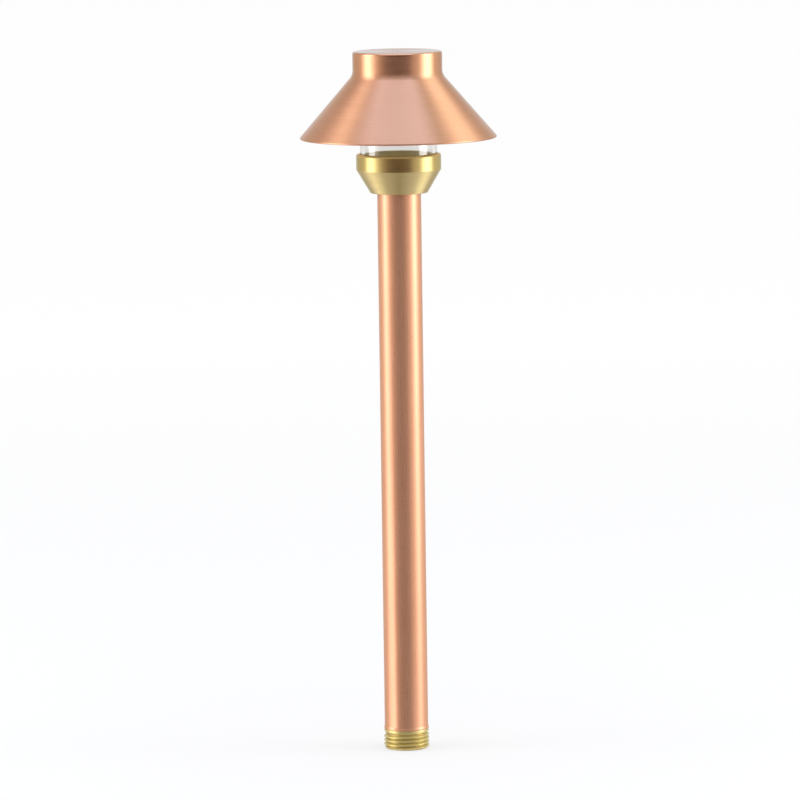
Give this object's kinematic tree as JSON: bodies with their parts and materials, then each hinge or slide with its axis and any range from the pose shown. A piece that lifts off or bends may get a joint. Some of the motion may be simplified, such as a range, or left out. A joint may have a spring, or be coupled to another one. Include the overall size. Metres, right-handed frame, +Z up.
{
  "type": "area light",
  "caption": "Garden path light: spun copper shade over a clear glass jar on a turned brass collar, copper stem, and a pipe thread at the foot.",
  "frame": {"origin": "middle of the foot thread's lower end", "axes": "+Z up the stem to the shade's top; the light is round about Z; +X runs through the two lamp pins"},
  "size_m": [0.0906, 0.0906, 0.325],
  "materials": {
    "copper": "satin spun and drawn copper",
    "turned_brass": "turned brass",
    "clear_glass": "clear polished",
    "silicone": "matt silicone",
    "black_rubber": "matt rubber",
    "zinc_steel": "zinc plated",
    "ceramic": "unglazed ceramic",
    "tinned_copper": "tinned",
    "wire_insulation": "smooth black",
    "wire_insulation_red": "smooth red",
    "lamp_plastic": "moulded",
    "board_white": "white solder mask",
    "phosphor": "soft gel",
    "chip_black": "moulded"
  },
  "bodies": {
    "base": {"stem_tube": "copper", "lower_bushing": "turned_brass", "upper_bushing": "turned_brass", "stem_seal": "black_rubber", "collar": "turned_brass", "lens_gasket": "silicone", "lens_o_ring": "silicone", "socket_bracket": "zinc_steel", "bracket_screws": "zinc_steel", "socket_body": "ceramic", "socket_clip": "zinc_steel", "socket_contacts": "tinned_copper", "lead_supply": "wire_insulation_red", "lead_return": "wire_insulation", "lead_strands": "tinned_copper", "lead_grommet": "silicone"},
    "lamp": {"lamp_base": "lamp_plastic", "lamp_board": "board_white", "lamp_leds": "phosphor", "lamp_driver_parts": "chip_black", "lamp_pins": "tinned_copper"},
    "lens": {"lens_jar": "clear_glass"},
    "shade": {"shade": "copper", "shade_sleeve": "turned_brass", "shade_o_rings": "silicone", "shade_cushion": "silicone"}
  },
  "joints": [
    {"name": "lens_lift", "type": "slide", "parent": "base", "child": "lens", "axis": [0, 0, 1], "range_m": [0, 0.03]},
    {"name": "shade_lift", "type": "slide", "parent": "lens", "child": "shade", "axis": [0, 0, 1], "range_m": [0, 0.05]},
    {"name": "lamp_pull", "type": "slide", "parent": "base", "child": "lamp", "axis": [0, 0, 1], "range_m": [0, 0.012]}
  ]
}
